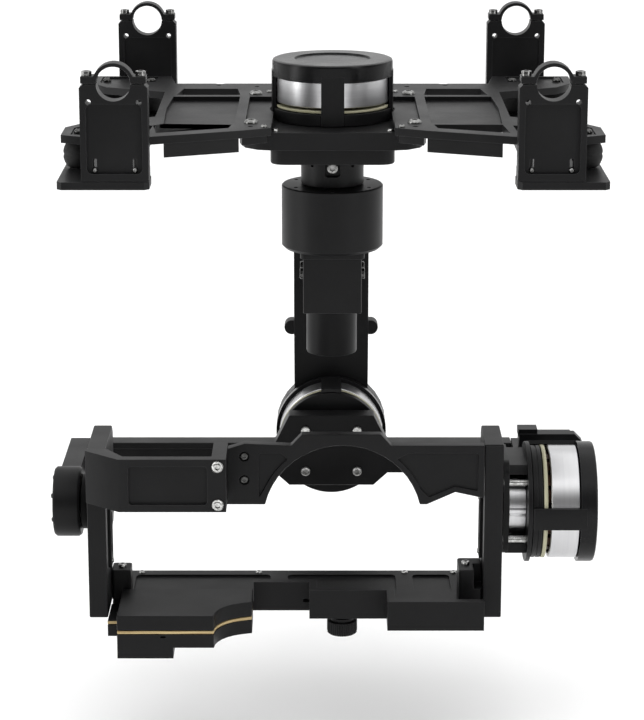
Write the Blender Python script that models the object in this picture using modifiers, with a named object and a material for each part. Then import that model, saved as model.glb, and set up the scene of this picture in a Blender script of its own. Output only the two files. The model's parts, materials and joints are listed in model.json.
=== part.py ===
"""A three-axis gimbal stabilizer that hangs under two 12 mm rails and carries a small camera.

Metres, +Z up. The origin is the middle of the four rail clamps' bores, on the yaw axis.
-Y is the front, the way the camera looks, and +X is its right in a front view.
The roll and tilt axes cross the yaw axis at CROSSING_Z. Pieces below the yaw motor are
written in heights above that crossing, and hang from empties that stand on the joints' axes.
"""

import math

import bmesh
import bpy
from mathutils import Matrix, Vector

OBJECT_NAME = "gimbal_stabilizer"
GAP = 0.0003  # clearance between neighbours

CROSSING_Z = -0.1813  # height of the roll and tilt axes
ROUND_STEPS = 32
SMALL_STEPS = 18
WELD = 0.00001
ENLARGED = 1000  # outlines are filled at this scale, because the fill drops details under 0.03 mm

# Rail clamps
BORE_RADIUS = 0.006
RING_RADIUS = 0.0073
CLAMP_X = 0.0764
CLAMP_FRONT_Y = 0.091
CLAMP_THICK = 0.007
CLAMP_HALF_WIDTH = 0.0119
CLAMP_BOTTOM_Z = -0.0342
RAIL_Z = (-0.0373, -0.0345)
RAIL_OUTER_X = 0.097
RAIL_INNER_X = 0.070
FOOT_INNER_X = 0.0645
FOOT_DEPTH = 0.014
CORNER = 0.0016

# Rubber dampers
DAMPER_X = (0.0735, 0.0915)
DAMPER_Y = 0.062
DAMPER_Z = (-0.0342, -0.0246)
DAMPER_NECK = 0.0036
DAMPER_BULGE = 0.0022

# Top plates
WING_TOP = -0.0213
WING_UNDER = -0.0242
WING_WALL_BOTTOM = -0.0293
WING_POCKET = 0.0018
PLATE_Z = (-0.0335, -0.0267)
FLANGE_TOP = -0.0245
YAW_BLOCK_Z = (-0.0409, -0.0338)
YAW_BLOCK_HALF = 0.0235

# Motors
YAW_RADIUS = 0.0231
SIDE_RADIUS = 0.0240  # roll and tilt
SIDE_BASE_RADIUS = 0.0224
YAW_MOTOR_Z = -0.0264
SHAFT_RADIUS = 0.0040
# heights of base top, board top, rotor bottom, rotor top and cap top
YAW_LENGTH = (0.0044, 0.0056, 0.0066, 0.0163, 0.0228)
ROLL_LENGTH = (0.0040, 0.0060, 0.0072, 0.0185, 0.0237)
TILT_LENGTH = (0.0040, 0.0058, 0.0072, 0.0184, 0.0253)
POST_WIDTH = 0.0085
YAW_POSTS = (0, 90, 180, 270)
SIDE_POSTS = (-90, 30, 150)
RING_INSET = 0.0015

# Arm that the yaw motor turns
NECK_RADIUS = 0.0121
NECK_Z = (-0.0520, -0.0412)
SLIP_RING_RADIUS = 0.0196
SLIP_RING_Z = (-0.0771, -0.0523)
ARM_HALF_WIDTH = 0.0113
COLUMN_RADIUS = 0.0105
COLUMN_Y = 0.0620
ROLL_PLATE_Y = (0.1043, 0.1123)
ROLL_PLATE_HALF = 0.0162

# Roll yoke, in heights above the crossing
YOKE_BEAM_Y = (0.0690, 0.0780)
YOKE_Z = (-0.0100, 0.0034)
LEFT_ARM_X = (-0.1116, -0.1036)
RIGHT_ARM_X = (0.0770, 0.0850)
EYE_RADIUS = 0.0140
EYE_X = (-0.1105, -0.0999)
PIN_RADIUS = 0.0046
TILT_MOTOR_X = 0.0787
ROLL_MOTOR_Y = 0.0803

# Tilt cage, in heights above the crossing
LEFT_POST_X = (-0.0950, -0.0877)
RIGHT_POST_X = (0.0595, 0.0668)
POST_Z = (-0.0413, 0.0300)
POST_FRONT_Y = -0.0220
LEFT_POST_FRONT_Y = -0.0320
LEFT_POST_LOW_Z = -0.0376
POST_BACK_Y = 0.0080
TRAY_Z = (-0.0413, -0.0373)
TRAY_LIP_TOP = -0.0293
TRAY_BACK_Y = 0.0220
LENS_X = 0.0040
LENS_Z = -0.0010
LENS_RADIUS = 0.0310
LENS_PLATE_Y = (-0.0230, -0.0185)
ARM_PANEL_Z = (0.0105, 0.0315)
SCREW_X = 0.0040
SCREW_Y = -0.0156
SCREW_RADIUS = 0.0060

BLACK = ("black_anodised", (0.020, 0.020, 0.021), 0.42, 0.60)
PLATE_BLACK = ("black_plate", (0.030, 0.030, 0.031), 0.38, 0.60)
SILVER = ("turned_aluminium", (0.62, 0.62, 0.63), 0.28, 1.00)
CREAM = ("insulator", (0.46, 0.42, 0.28), 0.55, 0.00)
BOARD = ("circuit_board", (0.38, 0.28, 0.12), 0.50, 0.10)
RUBBER = ("damper_rubber", (0.012, 0.012, 0.012), 0.80, 0.00)
STEEL = ("steel", (0.50, 0.50, 0.50), 0.30, 1.00)
COPPER = ("winding", (0.45, 0.20, 0.09), 0.45, 0.80)


def clear_scene():
    for obj in list(bpy.data.objects):
        bpy.data.objects.remove(obj, do_unlink=True)


def new_collection(name):
    collection = bpy.data.collections.new(name)
    bpy.context.scene.collection.children.link(collection)
    return collection


def material(finish):
    name, colour, roughness, metallic = finish
    found = bpy.data.materials.get(name)
    if found:
        return found
    made = bpy.data.materials.new(name)
    made.use_nodes = True
    shader = made.node_tree.nodes["Principled BSDF"]
    shader.inputs["Base Color"].default_value = (*colour, 1)
    shader.inputs["Roughness"].default_value = roughness
    shader.inputs["Metallic"].default_value = metallic
    made.diffuse_color = (*colour, 1)
    return made


def joint_empty(name, position, parent=None):
    """An empty on a joint's axis. Its position is in world metres."""
    empty = bpy.data.objects.new(name, None)
    empty.empty_display_size = 0.02
    PARTS.objects.link(empty)
    empty.location = Vector(position)
    if parent:
        empty.location -= parent.matrix_world.translation
        empty.parent = parent
    bpy.context.view_layer.update()
    return empty


def piece(name, mesh, finish, parent):
    obj = bpy.data.objects.new(name, mesh)
    obj.data.materials.append(material(finish))
    obj.parent = parent
    PARTS.objects.link(obj)
    return obj


def cutter(mesh, parent, name):
    """A helper solid that joins, cuts or trims a piece, and isn't a piece itself."""
    obj = bpy.data.objects.new(name, mesh)
    obj.parent = parent
    obj.hide_render = True
    obj.display_type = "WIRE"
    CUTTERS.objects.link(obj)
    return obj


def boolean(target, mesh, operation):
    tool = cutter(mesh, target.parent, target.name + "_" + operation.lower())
    modifier = target.modifiers.new(operation.title(), "BOOLEAN")
    modifier.operation = operation
    modifier.solver = "EXACT"
    modifier.object = tool


def join(target, *meshes):
    for mesh in meshes:
        boolean(target, mesh, "UNION")


def cut(target, *meshes):
    for mesh in meshes:
        boolean(target, mesh, "DIFFERENCE")


def trim(target, mesh):
    boolean(target, mesh, "INTERSECT")


def box(x, y, z):
    """A box from three pairs of limits, which may come in either order."""
    mesh = bpy.data.meshes.new("box")
    lows = Vector([min(pair) for pair in (x, y, z)])
    highs = Vector([max(pair) for pair in (x, y, z)])
    shape = Matrix.Translation((lows + highs) / 2) @ Matrix.Diagonal((*(highs - lows), 1))
    form = bmesh.new()
    bmesh.ops.create_cube(form, size=1, matrix=shape)
    form.to_mesh(mesh)
    form.free()
    return mesh


def rounded_box(x, y, z, axis="Z", radius=CORNER):
    """A box whose four edges along one axis are rounded off."""
    pairs = {"X": (y, z, x), "Y": (x, z, y), "Z": (x, y, z)}[axis]
    first, second, along = pairs
    return plate([corner_outline(first, second, radius)], axis, min(along), max(along))


def corner_outline(first, second, radius):
    low_u, high_u = min(first) + radius, max(first) - radius
    low_v, high_v = min(second) + radius, max(second) - radius
    corners = ((high_u, high_v, 0), (low_u, high_v, 90), (low_u, low_v, 180), (high_u, low_v, 270))
    outline = []
    for u, v, start in corners:
        outline += arc(u, v, radius, start, start + 90, 3)
    return outline


def arc(u, v, radius, start, end, steps):
    """Points round a centre, both ends included, with angles in degrees."""
    angles = [math.radians(start + (end - start) * step / steps) for step in range(steps + 1)]
    return [(u + radius * math.cos(angle), v + radius * math.sin(angle)) for angle in angles]


def circle(u, v, radius, steps=SMALL_STEPS):
    return arc(u, v, radius, 0, 360 - 360 / steps, steps - 1)


def plate(outlines, axis, low, high):
    """A flat piece from closed outlines, the first its edge and the others its holes, along one axis.

    Outlines are (x, y) for Z, (x, z) for Y and (y, z) for X.
    """
    curve = bpy.data.curves.new("outline", "CURVE")
    curve.dimensions = "2D"
    curve.fill_mode = "BOTH"
    curve.extrude = (high - low) / 2 * ENLARGED
    for outline in outlines:
        spline = curve.splines.new("POLY")
        spline.points.add(len(outline) - 1)
        for point, (u, v) in zip(spline.points, outline):
            point.co = (u * ENLARGED, v * ENLARGED, 0, 1)
        spline.use_cyclic_u = True
    guide = bpy.data.objects.new("outline", curve)
    bpy.context.scene.collection.objects.link(guide)
    graph = bpy.context.evaluated_depsgraph_get()
    mesh = bpy.data.meshes.new_from_object(guide.evaluated_get(graph))
    bpy.data.objects.remove(guide, do_unlink=True)
    turn = {
        "X": Matrix(((0, 0, 1), (1, 0, 0), (0, 1, 0))).to_4x4(),
        "Y": Matrix(((1, 0, 0), (0, 0, -1), (0, 1, 0))).to_4x4(),
        "Z": Matrix.Identity(4),
    }[axis]
    middle = (low + high) / 2
    shift = {"X": (middle, 0, 0), "Y": (0, middle, 0), "Z": (0, 0, middle)}[axis]
    form = bmesh.new()
    form.from_mesh(mesh)
    bmesh.ops.scale(form, vec=Vector((1, 1, 1)) / ENLARGED, verts=form.verts)
    bmesh.ops.remove_doubles(form, verts=form.verts, dist=WELD)
    bmesh.ops.transform(form, matrix=Matrix.Translation(shift) @ turn, verts=form.verts)
    bmesh.ops.recalc_face_normals(form, faces=form.faces)
    form.to_mesh(mesh)
    form.free()
    return mesh


def turned(profile, place=Matrix.Identity(4), steps=ROUND_STEPS, ring=False):
    """A turned solid about local Z: (radius, height) points from top to bottom of the outer side."""
    mesh = bpy.data.meshes.new("turned")
    edges = [(index, index + 1) for index in range(len(profile) - 1)]
    if ring:
        edges.append((len(profile) - 1, 0))
    mesh.from_pydata([(radius, 0, height) for radius, height in profile], edges, [])
    guide = bpy.data.objects.new("turned", mesh)
    screw = guide.modifiers.new("Screw", "SCREW")
    screw.steps = steps
    screw.render_steps = steps
    screw.use_merge_vertices = True
    screw.merge_threshold = WELD
    bpy.context.scene.collection.objects.link(guide)
    graph = bpy.context.evaluated_depsgraph_get()
    solid = bpy.data.meshes.new_from_object(guide.evaluated_get(graph))
    bpy.data.objects.remove(guide, do_unlink=True)
    solid.transform(place)
    return solid


def rod(place, radius, low, high, steps=SMALL_STEPS):
    return turned([(0, high), (radius, high), (radius, low), (0, low)], place, steps)


def along_x(x=0.0, y=0.0, z=0.0):
    """Stands local +Z along +X at a point."""
    return Matrix.Translation((x, y, z)) @ Matrix.Rotation(math.pi / 2, 4, "Y")


def along_y(x=0.0, y=0.0, z=0.0):
    """Stands local +Z along +Y at a point."""
    return Matrix.Translation((x, y, z)) @ Matrix.Rotation(-math.pi / 2, 4, "X")


def along_z(x=0.0, y=0.0, z=0.0):
    return Matrix.Translation((x, y, z))


def mirrored(outline, side):
    return [(side * u, v) for u, v in outline]


def side_pair(pair, side):
    return (side * pair[0], side * pair[1])


# Rail clamps and side rails


def clamp_block(name, side, end, parent):
    """The lower half of a rail clamp: a tall block with half the bore in its top."""
    middle = side * CLAMP_X
    top = -GAP / 2
    shoulder = 0.0012
    half = CLAMP_HALF_WIDTH
    bore = arc(0, 0, BORE_RADIUS, 360, 180, 12)
    outline = [(-half, CLAMP_BOTTOM_Z), (half, CLAMP_BOTTOM_Z), (half, top - shoulder)]
    outline += [(half - shoulder, top)]
    outline += [(u, min(v, top)) for u, v in bore]
    outline += [(-half + shoulder, top), (-half, top - shoulder)]
    holes = [circle(u, -0.0063, 0.0009, 8) for u in (-0.0088, 0.0088)]
    holes += [corner_outline((u - 0.0007, u + 0.0007), (-0.0302, -0.0264), 0.0005) for u in (-0.007, 0.007)]
    outlines = [[(u + middle, v) for u, v in shape] for shape in [outline] + holes]
    front = end * CLAMP_FRONT_Y
    back = end * (CLAMP_FRONT_Y - CLAMP_THICK)
    block = piece(name, plate(outlines, "Y", min(front, back), max(front, back)), BLACK, parent)
    panel_half = 0.0095
    recess = [(-panel_half, -0.0313), (panel_half, -0.0313), (panel_half, -0.0085)]
    recess += arc(0, 0, 0.0092, -62, -118, 6) + [(-panel_half, -0.0085)]
    depth = 0.0008
    face = plate([[(u + middle, v) for u, v in recess]], "Y", -depth, depth)
    face.transform(Matrix.Translation((0, front, 0)))
    cut(block, face)
    return block


def clamp_cap(name, side, end, parent):
    """The upper half of a rail clamp: half a ring with an ear each side for its two screws."""
    middle = side * CLAMP_X
    bottom = GAP / 2
    ear_top = 0.0026
    ear_end = 0.0114
    outer = arc(0, 0, RING_RADIUS, 21, 159, 12)
    inner = [(u, max(v, bottom)) for u, v in arc(0, 0, BORE_RADIUS, 180, 0, 12)]
    outline = [(ear_end, bottom), (ear_end, ear_top)] + outer
    outline += [(-ear_end, ear_top), (-ear_end, bottom)] + inner
    outline = [(u + middle, v) for u, v in outline]
    front = end * CLAMP_FRONT_Y
    back = end * (CLAMP_FRONT_Y - CLAMP_THICK)
    return piece(name, plate([outline], "Y", min(front, back), max(front, back)), BLACK, parent)


def side_rail(name, side, parent):
    """A thin rail along one side, with a wider foot under each of its two clamps."""
    foot = CLAMP_FRONT_Y - FOOT_DEPTH
    outer, inner, wide = RAIL_OUTER_X, RAIL_INNER_X, FOOT_INNER_X
    half = [(outer - CORNER, CLAMP_FRONT_Y), (wide + CORNER, CLAMP_FRONT_Y)]
    half += [(wide, CLAMP_FRONT_Y - CORNER), (wide, foot + CORNER), (inner, foot - 0.003)]
    rear = [(outer, CLAMP_FRONT_Y - CORNER)] + half
    front = [(u, -v) for u, v in reversed(rear)]
    outline = mirrored(rear + front, side)
    rail = piece(name, plate([outline], "Z", *RAIL_Z), BLACK, parent)
    lip_top = RAIL_Z[1] + 0.0037
    for end in (-1, 1):
        lip_x = side_pair((wide + 0.0003, wide + 0.0022), side)
        join(rail, box(lip_x, (end * (foot + 0.0015), end * (foot + 0.0035)), (RAIL_Z[0] + 0.001, lip_top)))
    return rail


def damper(name, x, y, parent):
    """A hollow rubber ball, squashed a little, with a narrow neck at each end."""
    low, high = DAMPER_Z
    count = 7
    profile = [(0, high)]
    for index in range(count):
        part = index / (count - 1)
        radius = DAMPER_NECK + DAMPER_BULGE * math.sin(math.pi * part) ** 0.6
        profile.append((radius, high + (low - high) * part))
    profile.append((0, low))
    return piece(name, turned(profile, along_z(x, y), 16), RUBBER, parent)


# Top plates


def wing(name, side, parent):
    """One half of the top plate: lobes over the dampers, a pocketed web and a deep front wall."""
    inner, outer = 0.0225, RAIL_OUTER_X + 0.0002
    bay = YAW_RADIUS + 0.0009
    bay_angle = math.degrees(math.acos(inner / bay))
    outline = [(outer, -0.0536), (0.0900, -0.0420), (0.0660, -0.0300), (0.0660, 0.0300), (0.0900, 0.0420)]
    outline += [(outer, 0.0536), (outer, 0.0720), (0.0660, 0.0720), (0.0630, 0.0520)]
    outline += [(0.0470, 0.0520), (0.0460, 0.0510), (0.0440, 0.0510), (0.0430, 0.0520), (inner, 0.0520)]
    outline += arc(0, 0, bay, bay_angle, -bay_angle, 4)
    outline += [(inner, -0.0550), (0.0335, -0.0610), (0.0650, -0.0740), (0.0900, -0.0740), (outer, -0.0700)]
    slots = [[(0.0360, 0.0220), (0.0610, 0.0220), (0.0590, 0.0380), (0.0375, 0.0380)]]
    slots += [[(0.0370, -0.0480), (0.0620, -0.0480), (0.0635, -0.0660), (0.0380, -0.0555)]]
    slots += [[(0.0656, -0.0500), (0.0692, -0.0500), (0.0692, -0.0640), (0.0664, -0.0640)]]
    plates = plate([mirrored(shape, side) for shape in [outline] + slots], "Z", WING_UNDER, WING_TOP)
    web = piece(name, plates, PLATE_BLACK, parent)
    wall = [(0.0340, -0.0605), (0.0605, -0.0715), (0.0605, -0.0690), (0.0345, -0.0580)]
    join(web, plate([mirrored(wall, side)], "Z", WING_WALL_BOTTOM, WING_UNDER + 0.0005))
    floor, above = WING_TOP - WING_POCKET, WING_TOP + 0.001
    pocket = [(0.0360, -0.0440), (0.0620, -0.0460), (0.0630, -0.0100), (0.0620, 0.0180), (0.0360, 0.0180)]
    inboard = [(inner - 0.001, -0.0360), (0.0322, -0.0400), (0.0322, 0.0180), (inner - 0.001, 0.0180)]
    for shape in (pocket, inboard):
        cut(web, plate([mirrored(shape, side)], "Z", floor, above))
    return web


def centre_plate(parent):
    """The plate under the yaw motor, with a thin flange each side that carries the wings."""
    half, front, corner = 0.0345, 0.0340, 0.0130
    slab = corner_outline((-half, half), (-front, front), corner)
    shaft = circle(0, 0, SHAFT_RADIUS + GAP, SMALL_STEPS)
    made = piece("centre_plate", plate([slab, shaft], "Z", *PLATE_Z), BLACK, parent)
    for side in (-1, 1):
        flange = [(0.0240, -0.0500), (0.0330, -0.0560), (0.0340, -0.0500), (0.0340, 0.0480), (0.0240, 0.0480)]
        join(made, plate([mirrored(flange, side)], "Z", PLATE_Z[1] - 0.001, FLANGE_TOP))
    return made


def yaw_block(parent):
    half = YAW_BLOCK_HALF
    outline = corner_outline((-half, half), (-half, half), 0.005)
    shaft = circle(0, 0, SHAFT_RADIUS + GAP)
    return piece("yaw_block", plate([outline, shaft], "Z", *YAW_BLOCK_Z), BLACK, parent)


# Motors


def motor(prefix, stand, radius, base_radius, length, posts_at, fixed, moving, reach):
    """A flat brushless motor about the local Z of stand, a matrix in world metres.

    The housing is a cap on posts at some angles, which leave the silver rotor showing between them.
    The rotor's shaft comes out through the base, and reach is where it ends.
    """
    base_top, board_top, rotor_low, rotor_top, cap_top = length
    place = Matrix.Translation(-fixed.matrix_world.translation) @ stand
    moving_place = Matrix.Translation(-moving.matrix_world.translation) @ stand
    ring = radius - RING_INSET
    post_inner = ring + GAP
    bore = SHAFT_RADIUS + GAP

    disc = [(base_radius, base_top), (base_radius, 0), (bore, 0), (bore, base_top)]
    base = piece(prefix + "_motor_base", turned(disc, place, ring=True), BLACK, fixed)
    posts = []
    notches = []
    for angle in posts_at:
        around = place @ Matrix.Rotation(math.radians(angle), 4, "Z")
        half = POST_WIDTH / 2
        post = box((post_inner, radius + 0.003), (-half, half), (0, rotor_top + GAP + 0.001))
        wide = half + GAP
        notch = box((post_inner - GAP, radius + 0.003), (-wide, wide), (-0.001, base_top + 0.001))
        post.transform(around)
        notch.transform(around)
        posts.append(post)
        notches.append(notch)
    cut(base, *notches)

    low = base_top + GAP
    board = [(ring, board_top), (ring, low), (bore + 0.004, low), (bore + 0.004, board_top)]
    piece(prefix + "_motor_board", turned(board, place, ring=True), CREAM, fixed)

    web = 0.0016
    stator_top = rotor_top - web - 0.0008
    core, hub = ring - 0.0030, 0.0085
    winding = [(core, stator_top), (core, board_top + GAP), (hub, board_top + GAP), (hub, stator_top)]
    piece(prefix + "_motor_stator", turned(winding, place, 24, ring=True), COPPER, fixed)

    inner, outer = SHAFT_RADIUS + GAP, 0.0080
    race_low, race_high = board_top + GAP, stator_top
    race = [(outer, race_high), (outer, race_low), (inner, race_low), (inner, race_high)]
    piece(prefix + "_motor_bearing", turned(race, place, SMALL_STEPS, ring=True), STEEL, fixed)

    shell = ring - 0.0016
    under = rotor_top - web
    bell = [(0, rotor_top), (ring, rotor_top), (ring, rotor_low), (shell, rotor_low), (shell, under)]
    bell += [(SHAFT_RADIUS, under), (SHAFT_RADIUS, reach), (0, reach)]
    piece(prefix + "_motor_rotor", turned(bell, moving_place), SILVER, moving)

    disc_low = rotor_top + GAP
    cap = rod(place, radius + 0.002, disc_low, cap_top + 0.002, SMALL_STEPS)
    housing = piece(prefix + "_motor_housing", cap, BLACK, fixed)
    join(housing, *posts)
    dish, rim = 0.0146, 0.0005
    envelope = [(0, cap_top - rim), (dish, cap_top - rim), (dish, cap_top), (radius - 0.0025, cap_top)]
    envelope += [(radius, cap_top - 0.0012), (radius, -0.001), (0, -0.001)]
    trim(housing, turned(envelope, place, 48))


# Arm between the yaw motor and the roll motor


def neck(parent):
    low, high = NECK_Z
    profile = [(0, high), (NECK_RADIUS, high), (NECK_RADIUS, low), (0, low)]
    return piece("neck", turned(profile), BLACK, parent)


def slip_ring_housing(parent):
    """The drum that holds the slip ring, with a groove near its lower rim and an open bore below."""
    low, high = SLIP_RING_Z
    radius = SLIP_RING_RADIUS
    groove = low + 0.0035
    profile = [(0, high), (radius - 0.0006, high), (radius, high - 0.0006), (radius, groove + 0.0008)]
    profile += [(radius - 0.0006, groove + 0.0004), (radius - 0.0006, groove), (radius, groove - 0.0004)]
    profile += [(radius, low + 0.0006), (radius - 0.0006, low), (0.0085, low)]
    profile += [(0.0085, high - 0.0040), (0, high - 0.0040)]
    return piece("slip_ring_housing", turned(profile), BLACK, parent)


def slip_ring(parent):
    low, high = SLIP_RING_Z
    return piece("slip_ring", rod(along_z(), 0.0080, low + GAP, high - 0.0045), STEEL, parent)


def arm(parent):
    """The block under the slip ring and the beam that runs back from it over the cage."""
    top = SLIP_RING_Z[0] - GAP
    block_low, beam_low, beam_top = CROSSING_Z + 0.0800, CROSSING_Z + 0.0690, CROSSING_Z + 0.0960
    rear = ROLL_PLATE_Y[0] - GAP
    side_view = [(-0.0120, block_low), (0.0140, block_low), (0.0420, beam_low), (rear, beam_low)]
    side_view += [(rear, beam_top - 0.020), (0.0500, beam_top), (0.0140, top), (-0.0120, top)]
    made = piece("arm", plate([side_view], "X", -ARM_HALF_WIDTH, ARM_HALF_WIDTH), BLACK, parent)
    column = rod(along_z(0, COLUMN_Y), COLUMN_RADIUS, CROSSING_Z + 0.0460, beam_low + 0.002, ROUND_STEPS)
    join(made, column)
    return made


def roll_plate(parent):
    """The upright plate behind the roll motor, with two round ears, bolted to the arm's end."""
    half, top = ROLL_PLATE_HALF, CROSSING_Z + 0.0950
    chamfer = 0.0040
    lower = [(u, v + CROSSING_Z) for u, v in arc(0, 0, SIDE_RADIUS, 132, 408, 24)]
    outline = [(half, top - chamfer), (half - chamfer, top), (-half + chamfer, top)]
    outline += [(-half, top - chamfer), (-half, CROSSING_Z + 0.0300)]
    outline += lower + [(half, CROSSING_Z + 0.0300)]
    made = piece("roll_plate", plate([outline], "Y", *ROLL_PLATE_Y), BLACK, parent)
    for side in (-1, 1):
        stand = along_y(side * 0.0172, 0, CROSSING_Z + 0.0450)
        ear = rod(stand, 0.0032, ROLL_PLATE_Y[0] + 0.001, ROLL_PLATE_Y[1])
        join(made, ear)
    return made


# Yoke that the roll motor turns


def yoke_beam(parent):
    """The cross-beam, thicker in the middle where the roll motor's shaft holds it."""
    left, right = LEFT_ARM_X[1] + GAP, RIGHT_ARM_X[0] - GAP
    low, high = YOKE_Z
    outline = [(left, low), (-0.024, low), (-0.018, -0.0155), (0.018, -0.0155), (0.024, low), (right, low)]
    outline += [(right, high), (0.024, high), (0.018, 0.0155), (-0.018, 0.0155), (-0.024, high), (left, high)]
    return piece("yoke_beam", plate([outline], "Y", *YOKE_BEAM_Y), BLACK, parent)


def yoke_arm_left(parent):
    """A bar that runs forward to a round eye, which holds the idle bearing's pin."""
    bar = rounded_box(LEFT_ARM_X, (0.0090, YOKE_BEAM_Y[1]), YOKE_Z, "X")
    made = piece("yoke_arm_left", bar, BLACK, parent)
    outer, inner = EYE_X
    eye = [(0, inner), (EYE_RADIUS - 0.0008, inner), (EYE_RADIUS, inner - 0.0010)]
    eye += [(EYE_RADIUS, outer + 0.0010), (EYE_RADIUS - 0.0008, outer), (0.0070, outer - 0.0006)]
    eye += [(0, outer - 0.0006)]
    join(made, turned(eye, along_x()))
    cut(made, rod(along_x(), PIN_RADIUS + GAP, -0.1070, inner + 0.0010))
    return made


def yoke_arm_right(parent):
    """A bar from the cross-beam to the bracket behind the tilt motor, with a stepped top."""
    bar = rounded_box(RIGHT_ARM_X, (0.0270, YOKE_BEAM_Y[1]), YOKE_Z, "X")
    made = piece("yoke_arm_right", bar, BLACK, parent)
    left, right, low, high, chamfer = 0.0763, 0.1020, -0.0120, 0.0205, 0.0030
    front = SIDE_RADIUS + 2 * GAP
    bracket = [(left, low), (right, low), (right, high - chamfer), (right - chamfer, high), (left, high)]
    join(made, plate([bracket], "Y", front, front + 0.0054))
    join(made, box((left, right - 0.0043), (front + 0.001, front + 0.0080), (high - 0.004, high - 0.0003)))
    step = (front + 0.0004, front + 0.0076)
    join(made, box((left - 0.0004, left + 0.0075), step, (high - 0.001, high + 0.0019)))
    return made


def tilt_flange(parent):
    """Two plates joined by two bars, which carry the tilt motor clear of the cage."""
    inner_x, outer_x = (0.0677, 0.0698), (0.0768, TILT_MOTOR_X - GAP)
    bore = circle(0, 0, SHAFT_RADIUS + GAP)
    near = corner_outline((-0.0140, 0.0170), (-0.0185, 0.0200), 0.005)
    far = arc(0, 0, SIDE_RADIUS, 25, 335, 36) + [(SIDE_RADIUS + GAP, -0.0090), (SIDE_RADIUS + GAP, 0.0090)]
    made = piece("tilt_flange", plate([near, bore], "X", *inner_x), BLACK, parent)
    join(made, plate([far, bore], "X", *outer_x))
    for height in (0.0168, -0.0158):
        bar_z = (height - 0.0020, height + 0.0020)
        join(made, box((inner_x[0] + 0.001, outer_x[0] + 0.001), (-0.0120, 0.0120), bar_z))
    return made


def tilt_collar(parent):
    """The silver drum between the flange's plates."""
    radius, bore, low, high = 0.0134, 0.0075, 0.0701, 0.0765
    profile = [(radius, high), (radius, low), (bore, low), (bore, high)]
    return piece("tilt_collar", turned(profile, along_x(), ring=True), SILVER, parent)


# Cage that the tilt motor turns


def cage_post(name, x, outline, parent):
    """An upright of the cage, with the outline of its side."""
    return piece(name, plate([outline], "X", *x), BLACK, parent)


def cage_posts(parent):
    """The right upright is straight, and the left one narrows below its bearing."""
    low, high = POST_Z
    chamfer, edge = 0.003, 0.0006
    top = [(POST_BACK_Y, high - chamfer), (POST_BACK_Y - chamfer, high)]
    right = [(POST_FRONT_Y, low), (POST_BACK_Y, low)] + top
    right += [(POST_FRONT_Y + edge, high), (POST_FRONT_Y, high - edge)]
    cage_post("cage_post_right", RIGHT_POST_X, right, parent)
    front, waist = LEFT_POST_FRONT_Y, -0.0070
    left = [(front, LEFT_POST_LOW_Z), (waist, LEFT_POST_LOW_Z), (waist, -0.0100), (0.0020, -0.0090)]
    left += [(POST_BACK_Y, -0.0030)] + top + [(front + edge, high), (front, high - edge)]
    cage_post("cage_post_left", LEFT_POST_X, left, parent)


def tray(parent):
    """The camera tray: a stepped floor with a lip along its front, slotted for the camera screw."""
    left, right = LEFT_POST_X[1] + GAP, RIGHT_POST_X[0] - GAP
    step_a, step_b, step_c = -0.0312, -0.0090, 0.0215
    rear_y, mid_y, front_y = -0.0140, -0.0233, -0.0365
    outline = [(left, rear_y), (step_b, rear_y), (step_b, mid_y), (step_c, mid_y), (step_c, front_y)]
    outline += [(right, front_y), (right, TRAY_BACK_Y), (left, TRAY_BACK_Y)]
    bore = circle(SCREW_X, SCREW_Y, 0.0029)
    made = piece("tray", plate([outline, bore], "Z", TRAY_Z[0], TRAY_LIP_TOP), BLACK, parent)
    thick, past = 0.0030, 0.0010
    pocket = [(left - past, rear_y - past), (step_a, rear_y - past), (step_a, rear_y + thick)]
    pocket += [(step_b + thick, rear_y + thick), (step_b + thick, mid_y + thick)]
    pocket += [(step_c + thick, mid_y + thick), (step_c + thick, front_y + thick)]
    pocket += [(right + past, front_y + thick), (right + past, TRAY_BACK_Y + past)]
    pocket += [(left - past, TRAY_BACK_Y + past)]
    cut(made, plate([pocket], "Z", TRAY_Z[1], TRAY_LIP_TOP + past))
    return made


def lens_plate(parent):
    """The arched plate across the front, with a half-round opening for the lens."""
    right = RIGHT_POST_X[0] - GAP
    outline = [(-0.0460, 0.0270), (-0.0340, 0.0308), (-0.0160, 0.0300), (-0.0118, 0.0345), (0.0189, 0.0345)]
    outline += [(0.0228, 0.0300), (right, 0.0300), (right, 0.0085), (0.0480, 0.0110), (0.0370, 0.0060)]
    outline += arc(LENS_X, LENS_Z, LENS_RADIUS, 13, 167, 20)
    outline += [(-0.0330, 0.0060), (-0.0460, 0.0060)]
    return piece("lens_plate", plate([outline], "Y", *LENS_PLATE_Y), BLACK, parent)


def grip_arm(parent):
    """The bent strap from the left post round the camera's grip to the lens plate."""
    post_x = LEFT_POST_X
    front, thick = -0.0460, 0.0040
    top_view = [(post_x[0], LEFT_POST_FRONT_Y - GAP), (post_x[0], -0.0345), (-0.0815, front)]
    top_view += [(-0.0405, front), (-0.0405, LENS_PLATE_Y[0] - GAP)]
    top_view += [(-0.0460, LENS_PLATE_Y[0] - GAP), (-0.0460, front + thick)]
    top_view += [(-0.0800, front + thick), (post_x[1] + 0.001, LEFT_POST_FRONT_Y - GAP)]
    made = piece("grip_arm", plate([top_view], "Z", *ARM_PANEL_Z), BLACK, parent)
    low, high = ARM_PANEL_Z
    face = (front - 0.001, front + 0.0008)
    cut(made, rounded_box((-0.0775, -0.0478), face, (low + 0.003, high - 0.003), "Y", 0.001))
    return made


def electronics_outline(inset):
    """The stack's plan: a straight front and a right end that curves back."""
    left, back, front = -0.0833 + inset, -0.0143, -0.0450 + inset
    curve = arc(-0.0310 + 0.0002, -0.0450 + 0.0002, 0.0150, 180, 110, 6)
    curve = [(u - inset, v) for u, v in curve]
    right = -0.0315 - inset
    return [(left, back), (left, front), (-0.0460 - inset, front)] + curve + [(right, -0.0292), (right, back)]


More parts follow.
